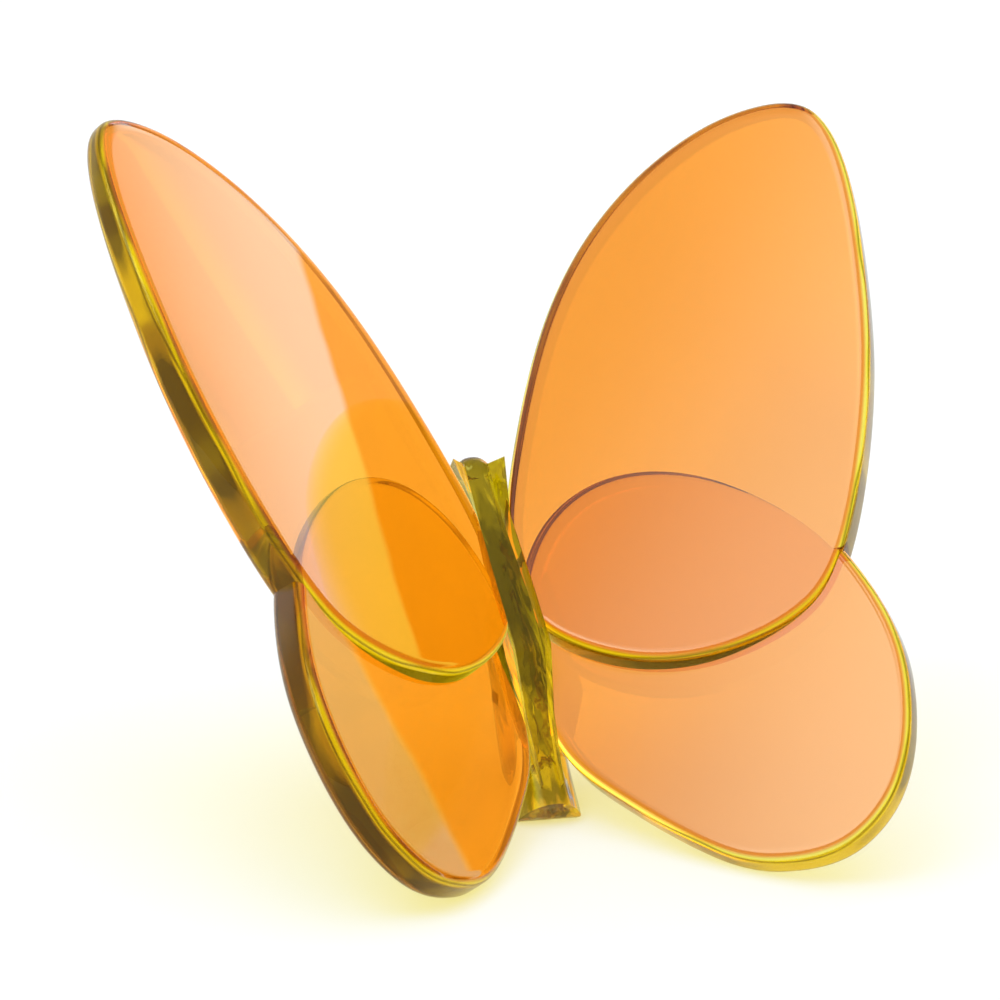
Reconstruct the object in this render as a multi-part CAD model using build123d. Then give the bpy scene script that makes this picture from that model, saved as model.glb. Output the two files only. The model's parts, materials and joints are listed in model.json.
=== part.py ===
from build123d import *
import math
import os

# Butterfly ornament: one body with four thick, rounded glass wings, two on each side.
# Every piece is first built upright. There, Z runs up the line where the two wing fronts
# would meet, X runs across the body, and Y runs towards the back. Then the whole ornament
# is leaned back on its feet, which rest on the plane of Z = 0. Lengths are millimetres.

# Stance, in degrees
lean_back = 52.4
forewing_rise = 30.6
hindwing_rise = 35.8

# Forewings. The crown is the thickest place of the domed back, and the crown drop is how
# much thinner the wing is at the point of its outline that is farthest from there.
forewing_reach = 46.1
forewing_length = 61.3
forewing_base = 19.4
forewing_thickness = 4.7
forewing_crown_drop = 2.03
forewing_crown_place_shares = (0.36, 0.30)

# Hindwings, whose fronts meet on a line behind the one where the forewings' fronts meet
hindwing_setback = 4.1
hindwing_reach = 37.5
hindwing_length = 49.9
hindwing_base = -5.2
hindwing_thickness = 4.3
hindwing_crown_drop = 0.67
hindwing_crown_place_shares = (0.51, 0.55)

# Roundings of the wing rims
front_rim_radius = 0.9
back_rim_radius = 1.4

# Body
body_length = 39.0
body_base = 11.6
body_width = 8.4
body_depth = 14.0
head_radius = 2.1
head_height = 49.6
head_setback = 1.2

# Filled valley between the wing fronts
valley_length = 36.5
valley_base = 13.5
valley_width = 5.6
valley_floor_depth = 1.1
valley_depth = 3.5

# Feet
foot_flat_depth = 0.12
foot_edge_radius = 0.8

# Outline of a forewing, from the root round the tip and back under the wing, as shares of
# its reach (outwards) and its length (upwards from its lowest point).
forewing_outline_shares = [
    (0.010, 0.262),
    (0.044, 0.420),
    (0.190, 0.667),
    (0.344, 0.832),
    (0.532, 0.944),
    (0.738, 1.000),
    (0.915, 0.988),
    (0.990, 0.912),
    (0.990, 0.742),
    (0.920, 0.473),
    (0.814, 0.249),
    (0.694, 0.084),
    (0.568, 0.016),
    (0.374, 0.003),
    (0.196, 0.050),
    (0.049, 0.151),
]

# Outline of a hindwing, from the root over the top and down round the lower tip.
hindwing_outline_shares = [
    (0.020, 0.640),
    (0.070, 0.825),
    (0.175, 0.946),
    (0.325, 1.000),
    (0.498, 0.984),
    (0.681, 0.900),
    (0.863, 0.742),
    (0.962, 0.567),
    (1.000, 0.376),
    (0.956, 0.199),
    (0.858, 0.069),
    (0.712, 0.003),
    (0.550, 0.012),
    (0.381, 0.085),
    (0.180, 0.267),
    (0.050, 0.437),
]

# Sections of the body from the tail to the neck. Each row holds the height as a share of
# the body's length, the centre's distance behind the front and the half depth as shares
# of its depth, and the half width as a share of its width.
body_section_shares = [
    (0.00, 0.736, 0.407, 0.490),
    (0.14, 0.739, 0.461, 0.500),
    (0.28, 0.679, 0.493, 0.490),
    (0.42, 0.546, 0.482, 0.465),
    (0.60, 0.414, 0.414, 0.430),
    (0.78, 0.318, 0.311, 0.370),
    (0.91, 0.232, 0.211, 0.310),
    (0.99, 0.182, 0.132, 0.240),
]

# Levels of the filled valley from its foot to its top. Each row holds the height as a share
# of the valley's length, the half widths of its floor and of its mouth as shares of its
# width, and the share of the hindwings' setback that it follows.
valley_section_shares = [
    (0.00, 0.160, 0.196, 1.07),
    (0.20, 0.214, 0.268, 0.69),
    (0.37, 0.286, 0.348, 0.00),
    (0.56, 0.286, 0.348, 0.00),
    (0.81, 0.232, 0.321, 0.00),
    (1.00, 0.232, 0.500, 0.00),
]


def wing_frame(rise, setback):
    """The plane of a right wing's front: x outwards, y up the root, z out of the front."""
    angle = math.radians(rise)
    outwards = Vector(math.cos(angle), -math.sin(angle), 0)
    forwards = Vector(-math.sin(angle), -math.cos(angle), 0)
    return Plane(origin=(0, setback, 0), x_dir=outwards, z_dir=forwards)


def rounded_wing(outline, thickness, crown_radius, crown_place):
    """A slab with a flat front and a back that is part of a large sphere, its rims rounded."""
    slab = extrude(outline, amount=-thickness)
    crown_x, crown_y = crown_place
    crown = Pos(crown_x, crown_y, crown_radius - thickness) * Sphere(crown_radius)
    blank = slab & crown
    flat_faces = blank.faces().filter_by(Plane.XY)
    front_edges = flat_faces.sort_by(Axis.Z)[-1].edges()
    blank = fillet(front_edges, front_rim_radius)
    domed_face = blank.faces().filter_by(GeomType.SPHERE).sort_by(SortBy.AREA)[-1]
    return fillet(domed_face.edges(), back_rim_radius)


def wing(outline_shares, reach, length, base, thickness, crown_drop, crown_place_shares):
    """A right wing, flat on its own front plane."""
    points = [(across * reach, base + up * length) for across, up in outline_shares]
    outline = make_face(Spline(points, periodic=True))
    across, up = crown_place_shares
    crown_place = (across * reach, base + up * length)
    farthest = max(math.dist(point, crown_place) for point in points)
    crown_radius = (farthest**2 + crown_drop**2) / (2 * crown_drop)
    return rounded_wing(outline, thickness, crown_radius, crown_place)


def forewing():
    flat = wing(
        forewing_outline_shares,
        forewing_reach,
        forewing_length,
        forewing_base,
        forewing_thickness,
        forewing_crown_drop,
        forewing_crown_place_shares,
    )
    return wing_frame(forewing_rise, 0).location * flat


def hindwing():
    flat = wing(
        hindwing_outline_shares,
        hindwing_reach,
        hindwing_length,
        hindwing_base,
        hindwing_thickness,
        hindwing_crown_drop,
        hindwing_crown_place_shares,
    )
    return wing_frame(hindwing_rise, hindwing_setback).location * flat


def trunk():
    """The tapered body, from the neck down to a tail that the ground will cut."""
    sections = []
    for height, centre, half_depth, half_width in body_section_shares:
        level = Plane.XY.offset(body_base + height * body_length)
        oval = Ellipse(half_width * body_width, half_depth * body_depth)
        sections.append(level * Pos(0, centre * body_depth, 0) * oval)
    return loft(sections)


def valley(depth):
    """The bottom of the V between the wing fronts, filled behind its faceted floor.

    A negative depth gives the open room in front of that floor instead.
    """
    slope = math.tan(math.radians(forewing_rise))
    sections = []
    for height, floor_share, mouth_share, setback_share in valley_section_shares:
        half_floor = floor_share * valley_width
        half_mouth = mouth_share * valley_width
        edge = setback_share * hindwing_setback - slope * half_mouth
        floor = edge + valley_floor_depth
        points = [
            (-half_mouth, edge),
            (-half_floor, floor),
            (half_floor, floor),
            (half_mouth, edge),
            (half_mouth, floor + depth),
            (-half_mouth, floor + depth),
        ]
        level = Plane.XY.offset(valley_base + height * valley_length)
        sections.append(level * make_face(Polyline(points, close=True)))
    return loft(sections, ruled=True)


def body_blank():
    head = Pos(0, head_setback, head_height) * Sphere(head_radius)
    return trunk() + valley(valley_depth) + head


def leaned(shape):
    return Rot(X=-lean_back) * shape


def main():
    body = leaned(body_blank())
    opening = valley(-valley_depth)
    fore = leaned(forewing() - opening)
    hind = leaned(hindwing() - opening)

    # The ornament stands on its two lower wing tips and its tail, all ground flat.
    ground = hind.bounding_box().min.Z + foot_flat_depth
    room = 2 * forewing_length
    under = Pos(0, 0, ground - room / 2) * Box(2 * room, 2 * room, room)
    body = body - under
    foot = body.faces().filter_by(Plane.XY).sort_by(Axis.Z)[0]
    body = fillet(foot.edges(), foot_edge_radius)

    # The body holds the wing roots, and each hindwing laps behind its forewing.
    left_fore = mirror(fore, about=Plane.YZ)
    left_hind = mirror(hind, about=Plane.YZ)
    pieces = {
        "body": body,
        "right_forewing": fore - body,
        "right_hindwing": hind - under - fore - body,
        "left_forewing": left_fore - body,
        "left_hindwing": left_hind - under - left_fore - body,
    }

    boxes = [shape.bounding_box() for shape in pieces.values()]
    middle = (min(box.min.Y for box in boxes) + max(box.max.Y for box in boxes)) / 2
    os.makedirs("parts", exist_ok=True)
    for name, shape in pieces.items():
        placed = Pos(0, -middle, -ground) * shape
        export_step(placed, "parts/" + name + ".step")
        print(name, len(placed.solids()), "solid(s)", round(placed.volume, 1), "mm3")
    print("root line foot at", round(-middle, 3), round(-ground, 3))


main()
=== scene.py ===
# %% [markdown]
# # Butterfly ornament
# A small butterfly of clear amber glass, with four thick wings raised in a V. Nothing on it
# moves, and it is taken to be a single casting. Its forms are a body and four wings. They are
# built here as five shapes that meet inside the glass, so that each form keeps its name.
# Lengths in the tables are millimetres, as on a drawing of the mould.

# %% frame
import json
import math

import bmesh
import bpy
from mathutils import Matrix, Vector

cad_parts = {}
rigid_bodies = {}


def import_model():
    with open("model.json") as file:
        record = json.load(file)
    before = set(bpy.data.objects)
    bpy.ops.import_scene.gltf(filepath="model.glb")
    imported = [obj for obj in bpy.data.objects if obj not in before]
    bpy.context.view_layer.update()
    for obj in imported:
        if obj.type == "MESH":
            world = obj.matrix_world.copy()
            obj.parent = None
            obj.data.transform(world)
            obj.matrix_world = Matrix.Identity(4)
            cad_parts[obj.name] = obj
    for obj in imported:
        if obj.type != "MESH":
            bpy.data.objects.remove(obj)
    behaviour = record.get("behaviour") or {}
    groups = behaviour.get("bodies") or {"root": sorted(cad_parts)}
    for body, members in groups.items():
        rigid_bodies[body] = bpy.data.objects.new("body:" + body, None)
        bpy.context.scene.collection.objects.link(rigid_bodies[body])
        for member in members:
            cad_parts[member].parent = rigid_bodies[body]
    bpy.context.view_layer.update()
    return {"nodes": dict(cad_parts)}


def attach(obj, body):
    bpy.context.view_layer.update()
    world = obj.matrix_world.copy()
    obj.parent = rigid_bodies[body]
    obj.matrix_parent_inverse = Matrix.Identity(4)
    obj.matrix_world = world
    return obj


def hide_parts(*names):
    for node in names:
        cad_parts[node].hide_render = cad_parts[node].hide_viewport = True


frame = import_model()
print("nodes:", sorted(frame["nodes"]))

# %% [markdown]
# ## Stance
# A mould for such a piece would be cut upright, with the line where the wing fronts meet as its
# middle line. The finished piece leans back on its tail and its two lower wing tips. The shapes
# could be made in their leaning places at once, but their sizes would be hard to read. So they
# are made upright too, and one matrix then leans them back onto the floor.

# %% stance
mm = 0.001
lean_back = math.radians(52.4)
root_line_foot = Vector((0.0, -22.089, -0.974)) * mm
stance = Matrix.Translation(root_line_foot) @ Matrix.Rotation(-lean_back, 4, "X")
print("leans back by", round(math.degrees(lean_back), 1), "degrees")


def wing_stance(rise, setback, side):
    """Places a wing drawn flat: x outwards, y up the root line, z out of its front."""
    out = Vector((math.cos(rise), -math.sin(rise), 0.0))
    front = Vector((-math.sin(rise), -math.cos(rise), 0.0))
    turn = Matrix((out, Vector((0.0, 0.0, 1.0)), front)).transposed().to_4x4()
    opposite = Matrix.Scale(-1.0, 4, (1.0, 0.0, 0.0)) if side == "left" else Matrix.Identity(4)
    return stance @ opposite @ Matrix.Translation((0.0, setback * mm, 0.0)) @ turn


# %% [markdown]
# ## Smooth outlines
# A wing's outline is one smooth closed curve. It could be a Bezier curve object, but then its
# handles would have to be set by hand. Here a few points fix it, and a curve of even curvature
# is drawn through them, like a bent spline on a drawing board. Between two points it is a
# polynomial that takes its slopes from their neighbours.

# %% a curve through points
def curve_between(before, start, end, after, share):
    """A point of the smooth curve between two of its points."""
    smooth = start * 2.0 + (end - before) * share
    smooth += (before * 2.0 - start * 5.0 + end * 4.0 - after) * share ** 2
    smooth += (start * 3.0 - before - end * 3.0 + after) * share ** 3
    return smooth / 2.0


low_point, high_point = Vector((0.0, 0.0)), Vector((1.0, 1.0))
print("halfway between two points:", curve_between(low_point, low_point, high_point, high_point, 0.5))

# %% [markdown]
# The curve is then divided into equal steps, so that the glass gets an even skin. The steps
# are found by walking along a much finer division of it.

# %% equal steps
rim_steps = 220
fine_steps = 40


def closed_curve(points):
    """Equal steps along the smooth closed curve through the points."""
    count = len(points)
    dense = []
    for i in range(count):
        near = [points[(i + k) % count] for k in (-1, 0, 1, 2)]
        dense += [curve_between(*near, k / fine_steps) for k in range(fine_steps)]
    dense.append(dense[0])
    lengths = [0.0]
    for start, end in zip(dense, dense[1:]):
        lengths.append(lengths[-1] + (end - start).length)
    even = []
    at = 0
    for k in range(rim_steps):
        goal = lengths[-1] * k / rim_steps
        while lengths[at + 1] < goal:
            at += 1
        share = (goal - lengths[at]) / (lengths[at + 1] - lengths[at])
        even.append(dense[at].lerp(dense[at + 1], share))
    return even


print("steps around a rim:", rim_steps)

# %% [markdown]
# The rim of a wing is rounded, so its rings lie inside the outline. These two helpers find the
# direction that points square into the outline, and move the outline inwards along it.

# %% moving an outline inwards
def inward(points):
    """Directions that point square into a closed outline."""
    middle = sum(points, Vector((0.0, 0.0))) / len(points)
    found = []
    for i, point in enumerate(points):
        along = points[(i + 1) % len(points)] - points[i - 1]
        square = Vector((-along.y, along.x)).normalized()
        found.append(square if square.dot(middle - point) > 0 else -square)
    return found


def moved_in(points, directions, inset):
    """The outline, moved inwards."""
    return [point + direction * inset for point, direction in zip(points, directions)]


corners = [Vector(corner) for corner in ((1.0, 0.0), (0.0, 1.0), (-1.0, 0.0), (0.0, -1.0))]
print("a square, moved in by a tenth:", moved_in(corners, inward(corners), 0.1)[0])

# %% [markdown]
# ## A skin over rings
# Each form is one closed skin of glass. A solid could be extruded and bevelled, but a domed
# back and a round rim come out more evenly from rings. The first ring is a circle whose
# vertices are moved into place, and it is filled. Each further ring is extruded from the one
# before it and moved to its own place, and the last one is filled again.

# %% skin
def object_of(bm, name):
    """A new object that holds what the bmesh holds."""
    mesh = bpy.data.meshes.new(name)
    bm.to_mesh(mesh)
    bm.free()
    made = bpy.data.objects.new(name, mesh)
    bpy.context.scene.collection.objects.link(made)
    return made


def next_loop(loop):
    """The vertices that were just extruded from those of a loop, in the same order."""
    behind = set(loop)
    follow = {}
    for vertex in loop:
        for edge in vertex.link_edges:
            other = edge.other_vert(vertex)
            if other not in behind and other.co == vertex.co:
                follow[vertex] = other
    return [follow[vertex] for vertex in loop]


def skin(name, rings):
    """One closed skin over a row of rings."""
    bm = bmesh.new()
    bmesh.ops.create_circle(bm, cap_ends=False, segments=len(rings[0]), radius=mm)
    loop = list(bm.verts)
    for vertex, place in zip(loop, rings[0]):
        vertex.co = place
    edges = list(bm.edges)
    bmesh.ops.contextual_create(bm, geom=edges)
    for ring in rings[1:]:
        behind = set(loop)
        made = bmesh.ops.extrude_edge_only(bm, edges=edges)["geom"]
        edges = [item for item in made if isinstance(item, bmesh.types.BMEdge)]
        edges = [edge for edge in edges if behind.isdisjoint(edge.verts)]
        loop = next_loop(loop)
        for vertex, place in zip(loop, ring):
            vertex.co = place
    bmesh.ops.contextual_create(bm, geom=edges)
    bmesh.ops.recalc_face_normals(bm, faces=bm.faces)
    return object_of(bm, name)


# %% [markdown]
# ## A wing blank
# Each wing is a thick slab with a flat front, a gently domed back and rounded rims, as pressed
# glass has when it is fire-polished. Its rings run outwards over the front, round the rim, and
# back in over the dome. The dome is part of a large sphere. Its radius follows from how much
# thinner the wing is at the point of its outline that is farthest from the crown.

# %% wing blank
rim_parts = 9
front_ring_shares = (0.04, 0.2, 0.4, 0.6, 0.8, 0.92, 0.98)
back_ring_shares = (0.985, 0.95, 0.9, 0.8, 0.7, 0.6, 0.5, 0.4, 0.3, 0.2, 0.1, 0.04)


def quarter_round(radius, part):
    """How far in and how deep one part of a rounding lies, counted from its flat end."""
    turn = math.pi / 2.0 * part / rim_parts
    return radius * (1.0 - math.sin(turn)), radius * (1.0 - math.cos(turn))


def wing_blank(name, size):
    """A closed wing, flat on its own front plane."""
    reach, length, base, thickness, drop, front_radius, back_radius = (
        size[key] * mm for key in (
            "reach", "length", "base", "thickness", "crown_drop", "front_radius", "back_radius"))
    outline = closed_curve([
        Vector((across * reach, base + up * length)) for across, up in size["outline"]])
    into = inward(outline)
    crown = Vector((size["crown_place"][0] * reach, base + size["crown_place"][1] * length))
    far = max(
        (Vector((across * reach, base + up * length)) - crown).length
        for across, up in size["outline"])
    radius = (far ** 2 + drop ** 2) / (2.0 * drop)

    def dome(place):
        return -thickness + radius - math.sqrt(radius ** 2 - (place - crown).length_squared)

    front_edge = moved_in(outline, into, front_radius)
    back_edge = moved_in(outline, into, back_radius)
    rings = [[(crown.lerp(place, share), 0.0) for place in front_edge] for share in front_ring_shares]
    for part in range(rim_parts + 1):
        inset, depth = quarter_round(front_radius, part)
        rings.append([(place, -depth) for place in moved_in(outline, into, inset)])
    for part in range(rim_parts, -1, -1):
        inset, lift = quarter_round(back_radius, part)
        places = moved_in(outline, into, inset)
        rings.append([(place, dome(edge) + lift) for place, edge in zip(places, back_edge)])
    for share in back_ring_shares:
        places = [crown.lerp(place, share) for place in back_edge]
        rings.append([(place, dome(place)) for place in places])
    return skin(name, [[Vector((place.x, place.y, z)) for place, z in ring] for ring in rings])


print("rings of a wing:", len(front_ring_shares) + 2 * (rim_parts + 1) + len(back_ring_shares))

# %% [markdown]
# ## The forewings
# The two forewings stand in front. Their sizes were fitted to the photograph. The outline is
# written as shares of the reach and the length, so a change of size keeps its shape.

# %% forewing sizes
forewing_rise = math.radians(30.6)
forewing_size = {
    "reach": 46.1,
    "length": 61.3,
    "base": 19.4,
    "thickness": 4.7,
    "crown_drop": 2.03,
    "crown_place": (0.36, 0.30),
    "front_radius": 0.9,
    "back_radius": 1.4,
    "outline": (
        (0.010, 0.262), (0.044, 0.420), (0.190, 0.667), (0.344, 0.832),
        (0.532, 0.944), (0.738, 1.000), (0.915, 0.988), (0.990, 0.912),
        (0.990, 0.742), (0.920, 0.473), (0.814, 0.249), (0.694, 0.084),
        (0.568, 0.016), (0.374, 0.003), (0.196, 0.050), (0.049, 0.151),
    ),
}
print("forewing:", forewing_size["reach"], "by", forewing_size["length"], "mm")

# %% [markdown]
# ## The hindwings
# The hindwings lap behind the forewings and are turned a few degrees further forward. Their
# fronts meet on a line that lies behind the one where the forewings' fronts meet.

# %% hindwing sizes
hindwing_rise = math.radians(35.8)
hindwing_setback = 4.1
hindwing_size = {
    "reach": 37.5,
    "length": 49.9,
    "base": -5.2,
    "thickness": 4.3,
    "crown_drop": 0.67,
    "crown_place": (0.51, 0.55),
    "front_radius": 0.9,
    "back_radius": 1.4,
    "outline": (
        (0.020, 0.640), (0.070, 0.825), (0.175, 0.946), (0.325, 1.000),
        (0.498, 0.984), (0.681, 0.900), (0.863, 0.742), (0.962, 0.567),
        (1.000, 0.376), (0.956, 0.199), (0.858, 0.069), (0.712, 0.003),
        (0.550, 0.012), (0.381, 0.085), (0.180, 0.267), (0.050, 0.437),
    ),
}
print("hindwing:", hindwing_size["reach"], "by", hindwing_size["length"], "mm")

# %% [markdown]
# Both sides are mirror images. Mirroring turns a skin inside out, so the faces of each blank
# are turned outwards again after it has been placed.

# %% wing blanks in place
sides = ("left", "right")
blanks = {}
for side in sides:
    fore = wing_blank(side + "_forewing_blank", forewing_size)
    fore.data.transform(wing_stance(forewing_rise, 0.0, side))
    hind = wing_blank(side + "_hindwing_blank", hindwing_size)
    hind.data.transform(wing_stance(hindwing_rise, hindwing_setback, side))
    blanks[side + "_forewing"] = fore
    blanks[side + "_hindwing"] = hind
for name, blank in blanks.items():
    bm = bmesh.new()
    bm.from_mesh(blank.data)
    bmesh.ops.recalc_face_normals(bm, faces=bm.faces)
    print(name, round(bm.calc_volume() * 1e9), "mm3", len(bm.faces), "faces")
    bm.to_mesh(blank.data)
    bm.free()

# %% [markdown]
# ## The trunk
# The body is a tapered bar between the wings, oval in section. Each row of the table is one
# section: its height as a share of the body's length, how far behind the front its centre
# lies and its half depth as shares of the body's depth, and its half width as a share of the
# body's width. Ovals are laid between the sections along the same smooth curve as the outlines.

# %% trunk
body_length, body_base, body_width, body_depth = 39.0, 11.6, 8.4, 14.0
body_sections = (
    (0.00, 0.736, 0.407, 0.490), (0.14, 0.739, 0.461, 0.500),
    (0.28, 0.679, 0.493, 0.490), (0.42, 0.546, 0.482, 0.465),
    (0.60, 0.414, 0.414, 0.430), (0.78, 0.318, 0.311, 0.370),
    (0.91, 0.232, 0.211, 0.310), (0.99, 0.182, 0.132, 0.240),
)
ovals_between = 6
oval_steps = 96


def oval(height, centre, half_depth, half_width):
    """One oval ring of the trunk."""
    z = body_base + height * body_length
    ring = []
    for k in range(oval_steps):
        turn = 2.0 * math.pi * k / oval_steps
        x = half_width * body_width * math.cos(turn)
        y = (centre + half_depth * math.sin(turn)) * body_depth
        ring.append(Vector((x, y, z)) * mm)
    return ring


rows = [Vector(row) for row in body_sections]
rows = [rows[0] * 2.0 - rows[1]] + rows + [rows[-1] * 2.0 - rows[-2]]
levels = []
for i in range(1, len(rows) - 2):
    levels += [curve_between(*rows[i - 1:i + 3], k / ovals_between) for k in range(ovals_between)]
levels.append(rows[-2])
body = skin("trunk", [oval(*level) for level in levels])
print("trunk:", len(levels), "ovals,", len(body.data.polygons), "faces")

# %% [markdown]
# ## The filled valley
# In front of the trunk the V between the wing fronts is filled with glass up to a narrow
# faceted floor. The same function makes the fill and, with a negative depth, the open room in
# front of it, which will cut the wings free there. Each row of the table holds the height,
# the half widths of the floor and of the mouth, and how far it follows the hindwings back.
# The facets are twisted a little, so rings are laid between the rows. Otherwise the fill and
# the room might split a twisted facet in two different ways and leave a thin sliver.

# %% valley
valley_length, valley_base, valley_width = 36.5, 13.5, 5.6
valley_floor_depth, valley_depth = 1.1, 3.5
valley_sections = (
    (0.00, 0.160, 0.196, 1.07), (0.20, 0.214, 0.268, 0.69),
    (0.37, 0.286, 0.348, 0.00), (0.56, 0.286, 0.348, 0.00),
    (0.81, 0.232, 0.321, 0.00), (1.00, 0.232, 0.500, 0.00),
)
rings_between = 8


def valley(name, depth, sink):
    """The filled bottom of the V, or with a negative depth the open room in front of it."""
    slope = math.tan(forewing_rise)
    levels = []
    for first, second in zip(valley_sections, valley_sections[1:]):
        step = [k / rings_between for k in range(rings_between)]
        levels += [Vector(first).lerp(Vector(second), share) for share in step]
    levels.append(valley_sections[-1])
    rings = []
    for height, floor_share, mouth_share, setback_share in levels:
        half_floor, half_mouth = floor_share * valley_width, mouth_share * valley_width
        edge = setback_share * hindwing_setback - slope * half_mouth + sink
        floor = edge + valley_floor_depth
        back = floor + depth
        z = valley_base + height * valley_length
        corners = (
            (-half_mouth, edge), (-half_floor, floor), (half_floor, floor),
            (half_mouth, edge), (half_mouth, back), (-half_mouth, back),
        )
        rings.append([Vector((x, y, z)) * mm for x, y in corners])
    return skin(name, rings)


fill = valley("valley", valley_depth, 0.0)
print("valley:", len(fill.data.polygons), "faces")

# %% [markdown]
# ## The head
# The head is a small round knob at the top, so a plain UV sphere is enough.

# %% head
head_radius, head_height, head_setback = 2.1, 49.6, 1.2
bm = bmesh.new()
bmesh.ops.create_uvsphere(bm, u_segments=64, v_segments=32, radius=head_radius * mm)
bmesh.ops.translate(bm, verts=bm.verts, vec=Vector((0.0, head_setback, head_height)) * mm)
head = object_of(bm, "head")
print("head:", 2.0 * head_radius, "mm across")

# %% [markdown]
# ## Joining the body
# A mould forms trunk, fill and head at once. Here they are joined by the exact boolean, which
# leaves one skin without inner faces. The modifier is read from the evaluated object, so the
# piece ends up as a plain mesh.

# %% joining
def combined(piece, other, operation):
    """The piece's mesh after a boolean with the other one."""
    modifier = piece.modifiers.new(operation, "BOOLEAN")
    modifier.operation = operation
    modifier.solver = "EXACT"
    modifier.object = other
    bpy.context.view_layer.update()
    evaluated = piece.evaluated_get(bpy.context.evaluated_depsgraph_get())
    mesh = bpy.data.meshes.new_from_object(evaluated)
    piece.modifiers.remove(modifier)
    return mesh


for extra in (fill, head):
    body.data = combined(body, extra, "UNION")
    bpy.data.objects.remove(extra)
body.name = "body_blank"
body.data.transform(stance)
print("body:", len(body.data.polygons), "faces")

# %% [markdown]
# ## Grinding the feet
# The ornament stands on its tail and on its two lower wing tips, and all three are ground flat.
# The plane is cut with a bisect. The tail's new edge is rounded. A bevel would meet many short
# edges there, so the skin is cut at several heights instead, and the points between them are
# moved inwards along a quarter circle.

# %% grinding
foot_edge_radius = 0.8
foot_level = 1e-7


def ground_off(piece, rounding):
    """Grinds the piece flat where it would go through the floor, and rounds the new edge."""
    bm = bmesh.new()
    bm.from_mesh(piece.data)
    parts = rim_parts if rounding else 0
    for part in range(parts, -1, -1):
        cut = bmesh.ops.bisect_plane(
            bm, geom=bm.verts[:] + bm.edges[:] + bm.faces[:], dist=foot_level,
            plane_co=(0.0, 0.0, quarter_round(rounding, part)[1]), plane_no=(0.0, 0.0, 1.0),
            clear_inner=part == 0)["geom_cut"]
    bm.normal_update()
    for vertex in bm.verts:
        below = rounding - vertex.co.z
        if below > 0.0:
            inset = rounding - math.sqrt(max(rounding ** 2 - below ** 2, 0.0))
            outwards = Vector((vertex.normal.x, vertex.normal.y, 0.0)).normalized()
            vertex.co -= outwards * inset
    rim = [item for item in cut if isinstance(item, bmesh.types.BMEdge)]
    flat = bmesh.ops.contextual_create(bm, geom=rim)["faces"]
    print(piece.name, "stands on", round(sum(face.calc_area() for face in flat) * 1e6, 1), "mm2")
    bm.to_mesh(piece.data)
    bm.free()


ground_off(body, foot_edge_radius * mm)
for side in sides:
    ground_off(blanks[side + "_hindwing"], 0.0)

# %% [markdown]
# ## Opening the V
# The wings run on into the room in front of the fill, and the open room cuts them free. It
# lies a little deeper than the fill's own floor, so that no cut face lies on a face of the body.

# %% opening
overlap = 0.03 * mm
opening_sink = 4.0 * overlap / mm
opening = valley("opening", -valley_depth, opening_sink)
opening.data.transform(stance)
for blank in blanks.values():
    blank.data = combined(blank, opening, "DIFFERENCE")
bpy.data.objects.remove(opening)
print("the room lies", round(opening_sink, 3), "mm deeper than the fill")

# %% [markdown]
# ## Cutting along the neighbours
# Where two forms meet inside the glass there is no surface in the real piece. Each form is cut
# along its neighbour, and every face that lies inside the glass is marked as a contact face,
# which the finish later leaves clear. Sharing one face would flicker, so the cut is made with a
# copy of the neighbour that is a hair smaller, and the two forms overlap by that hair.

# %% marks and copies
def flag(mesh, name, value):
    """Gives every face of the mesh the same value of a named mark."""
    mark = mesh.attributes.get(name) or mesh.attributes.new(name, "FLOAT", "FACE")
    mark.data.foreach_set("value", [value] * len(mesh.polygons))


def copy_of(piece):
    """A copy of a piece with a mesh of its own."""
    copy = piece.copy()
    copy.data = piece.data.copy()
    bpy.context.scene.collection.objects.link(copy)
    return copy


def cut_by(piece, other):
    """Cuts the piece along a hair smaller copy of the other, and marks the new faces."""
    tool = copy_of(other)
    bm = bmesh.new()
    bm.from_mesh(tool.data)
    bm.normal_update()
    normals = [vertex.normal.copy() for vertex in bm.verts]
    for vertex, normal in zip(bm.verts, normals):
        vertex.co -= normal * overlap
    bm.to_mesh(tool.data)
    bm.free()
    flag(tool.data, "contact", 1.0)
    piece.data = combined(piece, tool, "DIFFERENCE")
    bpy.data.objects.remove(tool)


print("neighbours overlap by", round(overlap / mm, 3), "mm")

# %% [markdown]
# The faces of a piece that lie inside its neighbour come from two booleans: the difference
# holds those outside, and the intersection those inside. Their own faces are put together
# again, the seam between them is merged, and gaps that rounding leaves there are filled.

# %% marking what lies inside
merging = 0.00002 * mm
seam_merging = 0.004 * mm


def mark_inside(piece, other):
    """Marks the faces of the piece that lie inside the other as contact faces."""
    flag(piece.data, "own", 1.0)
    flag(other.data, "own", 0.0)
    flag(other.data, "contact", 0.0)
    bm = bmesh.new()
    for operation, share in (("DIFFERENCE", 0.0), ("INTERSECT", 1.0)):
        part = combined(piece, other, operation)
        flag(part, "inside", share)
        bm.from_mesh(part)
    own, contact, inside = (bm.faces.layers.float.get(key) for key in ("own", "contact", "inside"))
    bmesh.ops.delete(bm, geom=[face for face in bm.faces if face[own] < 0.5], context="FACES")
    for face in bm.faces:
        face[contact] = max(face[contact], face[inside])
    bmesh.ops.remove_doubles(bm, verts=bm.verts, dist=merging)
    seam = [vertex for vertex in bm.verts if vertex.is_boundary]
    bmesh.ops.remove_doubles(bm, verts=seam, dist=seam_merging)
    gaps = [edge for edge in bm.edges if edge.is_boundary]
    bmesh.ops.holes_fill(bm, edges=gaps, sides=0)
    loose = [edge for edge in bm.edges if not edge.link_faces]
    bmesh.ops.delete(bm, geom=loose, context="EDGES")
    mesh = bpy.data.meshes.new(piece.data.name)
    bm.to_mesh(mesh)
    bm.free()
    piece.data = mesh


print("seams are merged within", round(seam_merging / mm, 4), "mm")

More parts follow.
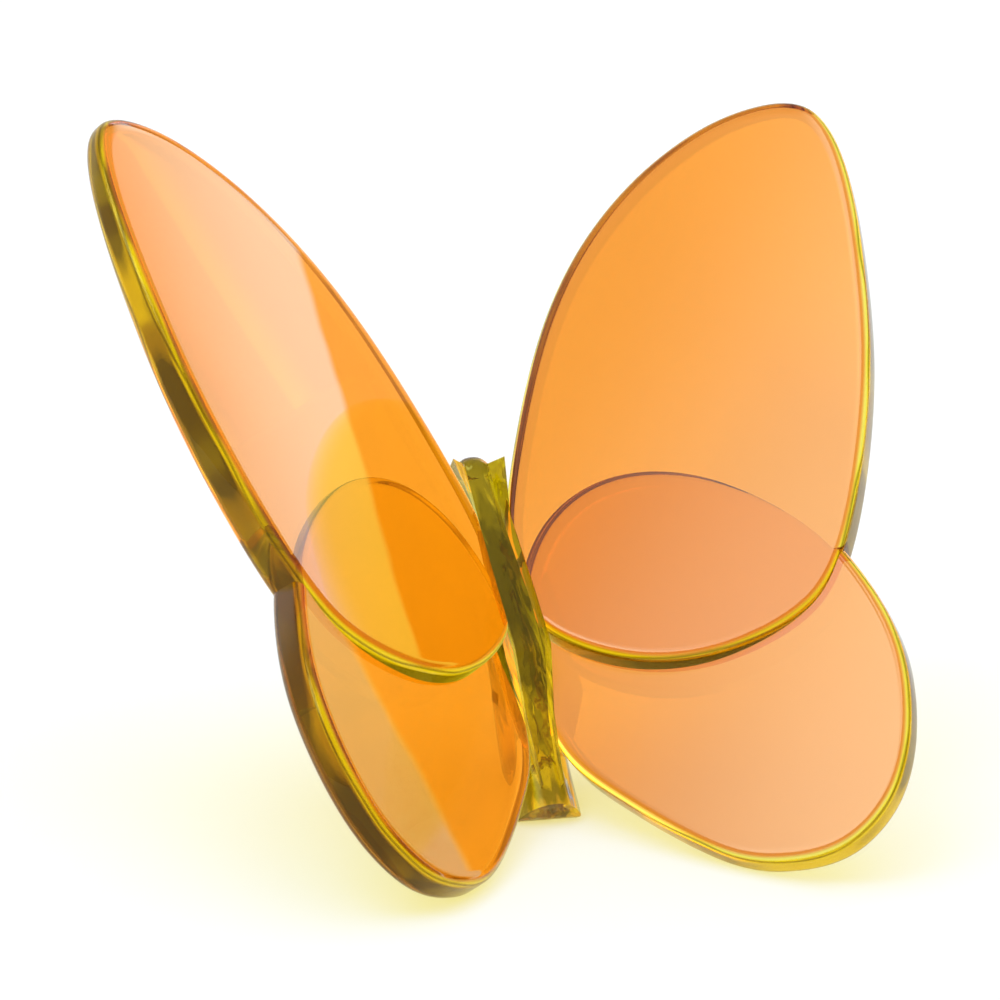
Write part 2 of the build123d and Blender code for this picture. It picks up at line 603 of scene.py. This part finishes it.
# %% [markdown]
# The body is marked against all four wings at once, so their union is made first, from the
# clean blanks. Each hindwing should give way to the forewing in front of it, and all wings to
# the body. The printed measures show two faults that are still open. The left hindwing comes
# out of its first cut whole, so it is larger than the right one and reaches into the left
# forewing. The body is left with a few open edges.

# %% cutting
wings = copy_of(blanks["left_forewing"])
for name in ("left_hindwing", "right_forewing", "right_hindwing"):
    wings.data = combined(wings, blanks[name], "UNION")
for piece in (body, *blanks.values()):
    flag(piece.data, "contact", 0.0)
for side in sides:
    fore, hind = blanks[side + "_forewing"], blanks[side + "_hindwing"]
    whole = copy_of(hind)
    cut_by(hind, fore)
    cut_by(hind, body)
    cut_by(fore, body)
    mark_inside(fore, whole)
    bpy.data.objects.remove(whole)
mark_inside(body, wings)
bpy.data.objects.remove(wings)
blanks["body"] = body
for piece in blanks.values():
    bm = bmesh.new()
    bm.from_mesh(piece.data)
    contact = bm.faces.layers.float.get("contact")
    marked = sum(face.calc_area() for face in bm.faces if face[contact] > 0.5)
    open_edges = sum(len(edge.link_faces) != 2 for edge in bm.edges)
    print(piece.name, round(bm.calc_volume(signed=True) * 1e9), "mm3,", len(bm.faces), "faces,",
          open_edges, "open edges,", round(marked * 1e6), "mm2 of contact")
    bm.free()

# %% [markdown]
# ## Node helpers
# The finishes are node trees with many small steps, so a few helpers keep them readable. The
# first one makes a node, sets it up, and gives each input a value or a link.

# %% node helpers
def node_of(tree, kind, inputs=(), **settings):
    """A shader node with its settings and with its inputs filled in."""
    node = tree.nodes.new("ShaderNode" + kind)
    for name, value in settings.items():
        setattr(node, name, value)
    for name, value in dict(inputs).items():
        if isinstance(value, bpy.types.NodeSocket):
            tree.links.new(value, node.inputs[name])
        else:
            node.inputs[name].default_value = value
    return node


def maths(tree, operation, first, second):
    """One sum of two numbers."""
    return node_of(tree, "Math", {0: first, 1: second}, operation=operation).outputs["Value"]


def smooth_step(tree, value, low, high):
    """A number that goes smoothly from 0 at the low value to 1 at the high one."""
    return node_of(
        tree, "MapRange", {"Value": value, "From Min": low, "From Max": high},
        interpolation_type="SMOOTHSTEP").outputs["Result"]


def straight_step(tree, value, low, high):
    """A number that goes evenly from 0 at the low value to 1 at the high one."""
    return node_of(
        tree, "MapRange", {"Value": value, "From Min": low, "From Max": high}).outputs["Result"]


print("helpers for numbers are ready")

# %% more node helpers
def tint_between(tree, share, first, second):
    """The first tint, the second one, or a mixture."""
    return node_of(
        tree, "Mix", {"Factor": share, "A": first, "B": second},
        data_type="RGBA").outputs["Result"]


def shader_between(tree, share, first, second):
    """The first shader, the second one, or a mixture."""
    return node_of(tree, "MixShader", {"Fac": share, 1: first, 2: second}).outputs["Shader"]


def noise_of(tree, place, scale, detail, distortion=0.0):
    """A soft noise between 0 and 1."""
    return node_of(tree, "TexNoise", {
        "Vector": place, "Scale": scale, "Detail": detail,
        "Distortion": distortion}).outputs["Fac"]


def ramp_of(tree, share, stops):
    """A row of tints, picked by a number."""
    ramp = node_of(tree, "ValToRGB", {"Fac": share})
    elements = ramp.color_ramp.elements
    while len(elements) < len(stops):
        elements.new(0.5)
    for element, (at, colour) in zip(elements, stops):
        element.position = at
        element.color = colour
    return ramp.outputs["Color"]


def new_group(name, given, results):
    """A node group with named inputs and outputs."""
    group = bpy.data.node_groups.new(name, "ShaderNodeTree")
    for in_out, sockets in (("INPUT", given), ("OUTPUT", results)):
        for socket, kind in sockets.items():
            group.interface.new_socket(socket, in_out=in_out, socket_type="NodeSocket" + kind)
    return group, group.nodes.new("NodeGroupInput").outputs, group.nodes.new("NodeGroupOutput")


print("helpers for tints, shaders and groups are ready")

# %% [markdown]
# ## Waves of a pressed skin
# Pressed glass keeps slow waves from the mould, and they bend what shows through it. They could
# be modelled, but they are far finer than the mesh, so a noise tilts the normals. Both finishes
# use it, so it is a node group.

# %% waves
pressed_waves, given, result = new_group(
    "pressed_waves",
    {"Place": "Vector", "Scale": "Float", "Detail": "Float", "Height": "Float"},
    {"Normal": "Vector"})
unevenness = noise_of(pressed_waves, given["Place"], given["Scale"], given["Detail"])
bump = node_of(
    pressed_waves, "Bump", {"Strength": 1.0, "Distance": given["Height"], "Height": unevenness})
pressed_waves.links.new(bump.outputs["Normal"], result.inputs["Normal"])
print("group:", pressed_waves.name)


def laid_waves(tree, place, scale, detail, height):
    """The waves of the pressed skin at one scale and height."""
    return node_of(
        tree, "Group", {"Place": place, "Scale": scale, "Detail": detail, "Height": height},
        node_tree=pressed_waves).outputs["Normal"]


# %% [markdown]
# ## The polished surface
# The outside is smooth clear glass that mirrors and bends light. Where it is seen at a grazing
# angle its tint turns dark and olive, which is painted shade for the dark outlines at its edges.
# The finish of each piece says what its shine, its tint and its waves are.

# %% polished surface
glass_index = 1.54
# painted shade: the dark olive tint of the outlines, where the glass is seen at a grazing angle
grazing_painted_shade = (0.10, 0.075, 0.008, 1.0)
grazing_low, grazing_high = 0.62, 0.92


def polished(tree, shine, tint, waves):
    """The outer surface of the glass."""
    facing = node_of(tree, "LayerWeight").outputs["Facing"]
    # the tint turns to the painted shade where the surface is seen at a grazing angle
    grazing = smooth_step(tree, facing, grazing_low, grazing_high)
    return node_of(tree, "BsdfPrincipled", {
        "Base Color": tint_between(tree, grazing, tint, grazing_painted_shade),
        "Metallic": 0.0,
        "Roughness": 0.0,
        "IOR": glass_index,
        "Transmission Weight": 1.0,
        "Specular Tint": shine,
        "Normal": waves,
    }).outputs["BSDF"]


print("glass of index", glass_index)

# %% [markdown]
# ## Faces inside the glass
# Two pieces meet on their contact faces, where the real ornament has no surface. There the
# finish is plain transparent, with a faint tint that lets the laps of the wings show.

# %% contact faces
lap_tint = (0.97, 0.86, 0.35, 1.0)


def clear_inside(tree, glass):
    """The glass, but clear on the contact faces."""
    contact = node_of(tree, "Attribute", attribute_name="contact").outputs["Fac"]
    clear = node_of(tree, "BsdfTransparent", {"Color": lap_tint}).outputs["BSDF"]
    return shader_between(tree, contact, glass, clear)


print("tint of a lap:", lap_tint[:3])

# %% [markdown]
# ## Trapped light
# Light that enters a rim is mirrored inside the slab again and again. A renderer gives such a
# path up after a while, and the rim goes black. So after two turns the light is let out: part
# of it goes straight on, and part is scattered. A slow noise makes it dark or bright, which
# paints light and shade in dark and bright yellow patches on the rims and the body, as
# refraction in thick glass would show them.

# %% trapped light
turns_before_spent = 2.5
# painted shade and painted light: the dark and the bright yellow of the patches
spent_painted_shade = (0.50, 0.38, 0.02, 1.0)
spent_painted_light = (1.0, 0.94, 0.03, 1.0)
patch_scale, patch_detail, patch_distortion = 110.0, 1.5, 0.6
patch_low, patch_high = 0.40, 0.56
scattered_share = 0.6


def let_out(tree, glass, place, depth):
    """The glass, but open to light that has turned inside it too often."""
    spent = maths(tree, "GREATER_THAN", depth, turns_before_spent)
    # painted light and shade, laid in patches by a slow noise
    light_and_shade_patches = noise_of(tree, place, patch_scale, patch_detail, patch_distortion)
    bright = smooth_step(tree, light_and_shade_patches, patch_low, patch_high)
    tint = tint_between(tree, bright, spent_painted_shade, spent_painted_light)
    onward = node_of(tree, "BsdfTransparent", {"Color": tint}).outputs["BSDF"]
    scattered = node_of(tree, "BsdfTranslucent", {"Color": tint}).outputs["BSDF"]
    leaving = shader_between(tree, scattered_share, onward, scattered)
    return shader_between(tree, spent, glass, leaving)


print("light is let out after", int(turns_before_spent), "turns")

# %% [markdown]
# ## What passes straight through
# A ray that one wing has mirrored shows the room, and not the other wings bent by it, so it
# passes the other pieces. Shadow rays and diffuse rays pass with a pale tint, which gives the
# glass a light shadow on the table instead of a black one.

# %% straight rays
first_turn_end = 1.5
pale_tint = (0.965, 0.945, 0.915, 1.0)


def passed_through(tree, glass, path):
    """The glass, but clear to mirrored rays and pale to shadow rays and diffuse rays."""
    first_turn = maths(tree, "LESS_THAN", path["Ray Depth"], first_turn_end)
    mirrored = maths(tree, "MULTIPLY", path["Is Reflection Ray"], first_turn)
    clear = node_of(tree, "BsdfTransparent").outputs["BSDF"]
    glass = shader_between(tree, mirrored, glass, clear)
    soft = maths(tree, "MAXIMUM", path["Is Shadow Ray"], path["Is Diffuse Ray"])
    pale = node_of(tree, "BsdfTransparent", {"Color": pale_tint}).outputs["BSDF"]
    return shader_between(tree, soft, glass, pale)


print("tint of a shadow ray at each face:", pale_tint[:3])

# %% [markdown]
# ## Amber glass
# The melt itself is amber. It takes the blue out of the light, and the more the farther the
# light runs through it, so it is a volume that absorbs. The parts above are put together here.

# %% amber glass
melt_density = 240.0


def amber(name, melt_tint, shine_of, tint_of, waves_of):
    """A solid amber glass. Three functions lay its shine, its tint and its waves."""
    material = bpy.data.materials.new(name)
    material.use_nodes = True
    tree = material.node_tree
    tree.nodes.clear()
    normal = node_of(tree, "NewGeometry").outputs["Normal"]
    place = node_of(tree, "TexCoord").outputs["Object"]
    path = node_of(tree, "LightPath").outputs
    glass = polished(
        tree, shine_of(tree, normal), tint_of(tree, normal, place, path["Ray Depth"]),
        waves_of(tree, normal, place))
    glass = clear_inside(tree, glass)
    glass = let_out(tree, glass, place, path["Ray Depth"])
    glass = passed_through(tree, glass, path)
    melt = node_of(tree, "VolumeAbsorption", {"Color": melt_tint, "Density": melt_density})
    node_of(tree, "OutputMaterial", {"Surface": glass, "Volume": melt.outputs["Volume"]})
    print(name, "has", len(tree.nodes), "nodes")
    return material


# %% [markdown]
# ## The wings' glass
# In the photograph the flat faces are peach and the rims are yellow and olive. A thin lustre on
# the polished faces would look like that, so a wing's tint depends on how square its surface
# is to the wing's front. The lustre counts once, where a ray first meets the glass.

# %% lustre of the flat faces
flat_tint = (0.76, 0.110, 0.010, 1.0)
flat_low, flat_high = 0.70, 0.95
first_hit_end = 0.5


def squareness(tree, normal, front):
    """1 where the surface is square to the front direction, and 0 on the edge of the rim."""
    square = node_of(tree, "VectorMath", {0: normal, 1: front}, operation="DOT_PRODUCT")
    return maths(tree, "ABSOLUTE", square.outputs["Value"], 0.0)


def flatness(tree, normal, front):
    """1 on the flat faces of a wing, and 0 on its rim."""
    return smooth_step(tree, squareness(tree, normal, front), flat_low, flat_high)


print("tint of the flat faces:", flat_tint[:3])

# %% [markdown]
# The rims are yellow glass with painted light and shade on it: dark and bright bands that run
# along them, for what refraction in the thick rim shows. They are a row of tints across the
# rim, and a slow noise shifts the row, so that the streaks wander.

# %% streaks of the rims
rim_tint = (1.0, 0.93, 0.40, 1.0)
rim_shine = (1.0, 0.82, 0.25, 1.0)
flat_shine = (1.0, 1.0, 1.0, 1.0)
# painted light and shade: the dark and bright yellow bands across a rim
rim_light_and_shade_bands = (
    (0.00, (0.10, 0.08, 0.005, 1.0)), (0.12, (0.85, 0.70, 0.02, 1.0)),
    (0.30, (1.00, 0.90, 0.05, 1.0)), (0.42, (0.16, 0.12, 0.005, 1.0)),
    (0.54, (0.30, 0.22, 0.01, 1.0)), (0.64, (1.00, 0.88, 0.05, 1.0)),
    (0.80, (1.00, 0.93, 0.30, 1.0)),
)
streak_scale, streak_detail, streak_wander = 75.0, 1.0, 1.5


def streaks(tree, normal, place, front):
    """The tint of the rim, with painted light and shade in streaks that run along it."""
    flow = noise_of(tree, place, streak_scale, streak_detail)
    wander = maths(tree, "MULTIPLY", maths(tree, "SUBTRACT", flow, 0.5), streak_wander)
    across = maths(tree, "ADD", squareness(tree, normal, front), wander)
    return ramp_of(tree, across, rim_light_and_shade_bands)


print("tints across a rim:", len(rim_light_and_shade_bands))

# %% [markdown]
# The waves are kept to the rims. On the flat faces they would bend the straight edge of the
# window that the left wings mirror. The rims' shine is yellow too, and the flat faces' is white.

# %% a wing's glass
wing_melt = (0.955, 0.905, 0.12, 1.0)
wing_wave_scale, wing_wave_detail, wing_wave_height = 90.0, 1.0, 0.25 * mm
least_wave = 0.01


def wing_amber(name, front):
    """A wing's glass, for a wing that faces in the front direction."""

    def tint_of(tree, normal, place, depth):
        first_hit = maths(tree, "LESS_THAN", depth, first_hit_end)
        rim = tint_between(tree, first_hit, rim_tint, streaks(tree, normal, place, front))
        lustre = maths(tree, "MULTIPLY", flatness(tree, normal, front), first_hit)
        return tint_between(tree, lustre, rim, flat_tint)

    def shine_of(tree, normal):
        return tint_between(tree, flatness(tree, normal, front), rim_shine, flat_shine)

    def waves_of(tree, normal, place):
        rim = maths(tree, "SUBTRACT", 1.0 + least_wave, flatness(tree, normal, front))
        height = maths(tree, "MULTIPLY", rim, wing_wave_height)
        return laid_waves(tree, place, wing_wave_scale, wing_wave_detail, height)

    return amber(name, wing_melt, shine_of, tint_of, waves_of)


def front_of(rise, side):
    """The direction that a wing's front faces."""
    turn = wing_stance(rise, 0.0, side).to_3x3()
    return (turn @ Vector((0.0, 0.0, 1.0))).normalized()


print("the right forewing faces", [round(share, 2) for share in front_of(forewing_rise, "right")])

# %% [markdown]
# ## The body's glass
# The body is thick, so it is olive, with yellow glass near its foot. Painted glints lie over
# that: brighter bands, and thin bright streaks along its length. The pattern is laid in upright
# places: the object's places are leaned forward again, and then they are stretched along the body.

# %% along the body
def upright(tree, place, scale):
    """Places on the upright body, scaled."""
    turned = node_of(tree, "Mapping", {"Vector": place, "Rotation": (lean_back, 0.0, 0.0)})
    scaled = node_of(
        tree, "VectorMath", {0: turned.outputs["Vector"], 1: scale}, operation="MULTIPLY")
    return scaled.outputs["Vector"]


print("leaned forward by", round(math.degrees(lean_back), 1), "degrees")

# %% [markdown]
# A row of tints runs up the body: yellow and orange at the foot, a dark band, the yellow lower
# part, and olive above it, with two brighter bands higher up that are painted glints. A noise
# that is drawn out along the body lets the bands wander, and where it is strongest it lays a
# thin bright streak, a painted glint.

# %% a body's tint
# olive and yellow of the glass, with painted glints in the brighter stops at 0.38 and 0.82
body_bands_and_painted_glints = (
    (0.00, (0.85, 0.55, 0.03, 1.0)), (0.03, (0.90, 0.42, 0.03, 1.0)),
    (0.06, (0.18, 0.12, 0.01, 1.0)), (0.10, (0.20, 0.14, 0.01, 1.0)),
    (0.13, (0.95, 0.66, 0.03, 1.0)), (0.28, (0.95, 0.66, 0.03, 1.0)),
    (0.31, (0.25, 0.17, 0.02, 1.0)), (0.38, (0.45, 0.32, 0.03, 1.0)),
    (0.45, (0.11, 0.08, 0.005, 1.0)), (0.78, (0.15, 0.11, 0.01, 1.0)),
    (0.82, (0.40, 0.29, 0.02, 1.0)), (1.00, (0.16, 0.12, 0.01, 1.0)),
)
bands_low, bands_high = -8.0 * mm, 36.0 * mm
flow_scale, flow_detail, band_wander = (700.0, 700.0, 60.0), 2.0, 12.0 * mm
# painted glint: a thin bright streak where the drawn-out noise is strongest
painted_glint_tint = (0.85, 0.62, 0.05, 1.0)
glint_low, glint_high = 0.65, 0.73


def body_tint(tree, normal, place, depth):
    """The tint of the body, with its painted glints."""
    flow = noise_of(tree, upright(tree, place, flow_scale), 1.0, flow_detail)
    wander = maths(tree, "MULTIPLY", maths(tree, "SUBTRACT", flow, 0.5), band_wander)
    split = node_of(tree, "SeparateXYZ", {"Vector": upright(tree, place, (1.0, 1.0, 1.0))})
    height = maths(tree, "ADD", split.outputs["Z"], wander)
    bands = ramp_of(tree, straight_step(tree, height, bands_low, bands_high), body_bands_and_painted_glints)
    # the painted glint is laid over the bands
    painted_glint = straight_step(tree, flow, glint_low, glint_high)
    return tint_between(tree, painted_glint, bands, painted_glint_tint)


print("bands along the body:", len(body_bands_and_painted_glints))

# %% a body's glass
body_melt = (0.93, 0.89, 0.12, 1.0)
body_wave_scale, body_wave_detail, body_wave_height = (420.0, 420.0, 70.0), 2.0, 0.35 * mm


def body_shine(tree, normal):
    """The shine of the body, which is that of the rims."""
    return rim_shine


def body_waves(tree, normal, place):
    """Waves that run along the body."""
    along = upright(tree, place, body_wave_scale)
    return laid_waves(tree, along, 1.0, body_wave_detail, body_wave_height)


body_amber = amber("body_amber", body_melt, body_shine, body_tint, body_waves)

# %% [markdown]
# ## Finished pieces
# Each piece gets its glass and smooth shading. Edges that turn by more than the crease angle,
# such as those of the body's facets, stay sharp. Then each piece takes the name of its solid,
# with _glass after it, and that solid is hidden.

# %% finished pieces
crease_angle = math.radians(32.0)
rises = {"forewing": forewing_rise, "hindwing": hindwing_rise}
for name, piece in blanks.items():
    side, kind = name.split("_") if name != "body" else (None, "body")
    if kind == "body":
        finish = body_amber
    else:
        finish = wing_amber(name + "_amber", front_of(rises[kind], side))
    piece.name = name + "_glass"
    piece.data.materials.clear()
    piece.data.materials.append(finish)
    piece.data.shade_smooth()
    piece.data.set_sharp_from_angle(angle=crease_angle)
    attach(piece, "root")
    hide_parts(name)
    print(piece.name, "has the finish", finish.name)

# %% [markdown]
# ## The table
# The photograph is a studio shot on white. The table is a wide plain sheet with a matt pale
# finish. It has no shine, so that only the shadow of the glass lies on it.

# %% table
scene = bpy.context.scene
scene.view_settings.view_transform = "Standard"
table_half_size = 3.0
table_grey, table_roughness = 0.93, 0.9
bm = bmesh.new()
bmesh.ops.create_grid(bm, x_segments=1, y_segments=1, size=table_half_size)
floor = object_of(bm, "floor")
paper = bpy.data.materials.new("pale_table")
paper.use_nodes = True
sheet = paper.node_tree.nodes["Principled BSDF"].inputs
sheet["Base Color"].default_value = (table_grey, table_grey, table_grey, 1.0)
sheet["Roughness"].default_value = table_roughness
sheet["Specular IOR Level"].default_value = 0.0
floor.data.materials.append(paper)
print("table:", 2.0 * table_half_size, "m across")

# %% [markdown]
# ## The table light
# A large soft light overhead would show in the glass. A sun with a very wide angle lights the
# table just as softly, and it is hidden from mirrored and bent rays. It is faintly blue, to make
# up for the amber glow of the room.

# %% table light
lamp_strength, lamp_width = 1.35, math.radians(80.0)
lamp_colour = (0.97, 0.98, 1.11)
lamp_tilt = (math.radians(-12.0), math.radians(8.0), 0.0)
lamp_data = bpy.data.lights.new("table_light", "SUN")
lamp_data.energy = lamp_strength
lamp_data.color = lamp_colour
lamp_data.angle = lamp_width
lamp = bpy.data.objects.new("table_light", lamp_data)
lamp.rotation_euler = lamp_tilt
lamp.visible_glossy = False
lamp.visible_transmission = False
scene.collection.objects.link(lamp)
print("table light of strength", lamp_data.energy)

# %% [markdown]
# ## A room drawn by direction
# Polished glass shows the room around it. Lamps and walls could be modelled, but they would
# stand in the picture. So the room is only drawn in the world's light, by direction. A node
# group tells on which side of a plane a direction lies, and zones are made from a few planes.

# %% zones
plane_side, given, result = new_group(
    "plane_side",
    {"Direction": "Vector", "Normal": "Vector", "Limit": "Float", "Softness": "Float"},
    {"Share": "Float"})
dot = node_of(
    plane_side, "VectorMath", {0: given["Direction"], 1: given["Normal"]},
    operation="DOT_PRODUCT").outputs["Value"]
near_side = maths(plane_side, "SUBTRACT", given["Limit"], given["Softness"])
far_side = maths(plane_side, "ADD", given["Limit"], given["Softness"])
plane_side.links.new(smooth_step(plane_side, dot, near_side, far_side), result.inputs["Share"])
world = bpy.data.worlds.new("studio")
scene.world = world
world.use_nodes = True
sky = world.node_tree
looking = node_of(sky, "TexCoord").outputs["Generated"]


def beyond(normal, limit, softness):
    """1 for directions beyond a plane, and 0 for those before it."""
    return node_of(sky, "Group", {
        "Direction": looking, "Normal": normal, "Limit": limit,
        "Softness": softness}, node_tree=plane_side).outputs["Share"]


def both(first, second):
    """Where both zones are, or a zone of some strength."""
    return maths(sky, "MULTIPLY", first, second)


def plus(first, second):
    """Two zones together."""
    return maths(sky, "ADD", first, second)


def outside(zone):
    """Everything but the zone."""
    return maths(sky, "SUBTRACT", 1.0, zone)


print("group:", plane_side.name)

# %% [markdown]
# ## The dim room
# The room is dim. A white sweep stands behind, a pale wall to the left lights the outer rims,
# a soft panel in front lights the body, and a weak light hangs overhead.

# %% dim room
room_level, sweep_level, overhead_level, wall_level, panel_level = 0.12, 0.85, 0.35, 0.6, 0.45
room_colour = (0.96, 0.98, 1.0, 1.0)
panel_direction = Vector((-0.10, -0.95, 0.10)).normalized()
overhead = beyond((0.0, 0.0, 1.0), limit=0.70, softness=0.12)
sweep = both(beyond((0.0, 1.0, 0.0), limit=0.62, softness=0.15), outside(overhead))
left_wall = beyond((-1.0, 0.0, 0.0), limit=0.6, softness=0.2)
front_panel = beyond(panel_direction, limit=0.70, softness=0.15)
level = plus(room_level, both(sweep, sweep_level))
level = plus(level, both(overhead, overhead_level))
level = plus(level, both(left_wall, wall_level))
level = plus(level, both(front_panel, panel_level))
room = sky.nodes["Background"]
room.inputs["Color"].default_value = room_colour
sky.links.new(level, room.inputs["Strength"])
print("the sweep is", round((room_level + sweep_level) / room_level, 1), "times the room's level")

# %% [markdown]
# ## Two windows
# Each left wing mirrors a window to the right, with one straight edge across the wing. That
# edge is a plane through the camera's mirror image, so its normal was found from two points
# of the edge in the photograph. Away from its edge each window fades.

# %% windows
to_right = beyond((1.0, 0.0, 0.0), limit=0.55, softness=0.1)
upper_edge = Vector((0.0965, 0.6144, -0.7831))
lower_edge = Vector((-0.1750, 0.7311, -0.6596))
past_upper = beyond(upper_edge, limit=0.0, softness=0.0007)
past_lower = beyond(lower_edge, limit=0.0, softness=0.0010)
upper_window = both(outside(past_upper), beyond(upper_edge, limit=-0.024, softness=0.022))
lower_window = both(outside(past_lower), beyond(lower_edge, limit=-0.035, softness=0.02))
upper_level, lower_level = 3.6, 3.2
upper_colour, lower_colour = (0.86, 1.0, 0.95, 1.0), (0.36, 0.60, 1.60, 1.0)
window_light = both(to_right, plus(both(upper_window, upper_level), both(lower_window, lower_level)))
pane = node_of(sky, "Background", {
    "Color": tint_between(sky, lower_window, upper_colour, lower_colour),
    "Strength": window_light}).outputs["Background"]
print("windows of strength", upper_level, "and", lower_level)

# %% [markdown]
# ## An amber glow
# Beyond the edges of the windows the left wings are deep orange in the photograph. A warm glow
# fills the room there, between the two windows and under the lower one.

# %% amber glow
glow_level = 2.6
glow_colour = (1.0, 0.42, 0.08, 1.0)
between_windows = both(past_upper, outside(beyond(upper_edge, limit=0.08, softness=0.03)))
amber_glow = both(to_right, plus(between_windows, past_lower))
glow = node_of(sky, "Background", {
    "Color": glow_colour, "Strength": both(amber_glow, glow_level)}).outputs["Background"]
print("amber glow of strength", glow_level)

# %% [markdown]
# ## A veil on the right wings
# The right wings mirror a small bright light high on the left. It lays a pale veil on them that
# grows from the body outwards. The hindwing mirrors it from further out, so the light has one
# part for each of the two wings.

# %% veil
veil_colour = (0.80, 1.0, 0.82, 1.0)
forewing_veil_level, hindwing_veil_level = 3.8, 5.2
veil_direction = Vector((-0.52, 0.0, 0.86)).normalized()
across_right_wing = Vector((0.35, -0.91, 0.20))
high_left = beyond(veil_direction, limit=0.95, softness=0.02)
to_forewing = beyond((1.0, 0.0, 0.0), limit=-0.55, softness=0.02)
from_body = beyond(across_right_wing, limit=0.006, softness=0.035)
from_further_out = beyond(across_right_wing, limit=-0.085, softness=0.04)
forewing_veil = both(to_forewing, from_body)
hindwing_veil = both(outside(to_forewing), from_further_out)
veil_light = both(high_left, plus(
    both(forewing_veil, forewing_veil_level), both(hindwing_veil, hindwing_veil_level)))
veil = node_of(
    sky, "Background", {"Color": veil_colour, "Strength": veil_light}).outputs["Background"]
print("veil of strength", forewing_veil_level, "and", hindwing_veil_level)

# %% [markdown]
# The room, the windows, the veil and the glow are lights in the same room, so they are added.

# %% the whole room
lights = room.outputs["Background"]
for light in (pane, veil, glow):
    lights = node_of(sky, "AddShader", {0: lights, 1: light}).outputs["Shader"]
sky.links.new(lights, sky.nodes["World Output"].inputs["Surface"])
print("the room has", len(sky.nodes), "nodes")

# %% [markdown]
# ## Camera
# The photograph looks a little down on the ornament, from in front and from the side of the
# left wings, through a long lens. The camera could be aimed at a target, but its place and its three
# directions were fitted to the photograph, so they are set as they were found.

# %% camera
camera_lens = 198.9
camera_place = Vector((-193.97, -492.52, 180.23)) * mm
camera_right = Vector((0.9368, -0.3461, 0.0516))
camera_up = Vector((0.0477, 0.2724, 0.9610))
camera_back = Vector((-0.3466, -0.8978, 0.2717))
nearest, farthest = 10.0 * mm, 20.0
camera_data = bpy.data.cameras.new("camera")
camera_data.lens = camera_lens
camera_data.clip_start = nearest
camera_data.clip_end = farthest
camera = bpy.data.objects.new("camera", camera_data)
scene.collection.objects.link(camera)
turn = Matrix((camera_right, camera_up, camera_back)).transposed().to_4x4()
camera.matrix_world = Matrix.Translation(camera_place) @ turn
scene.camera = camera
print("camera is", round(camera_place.length, 3), "m away")
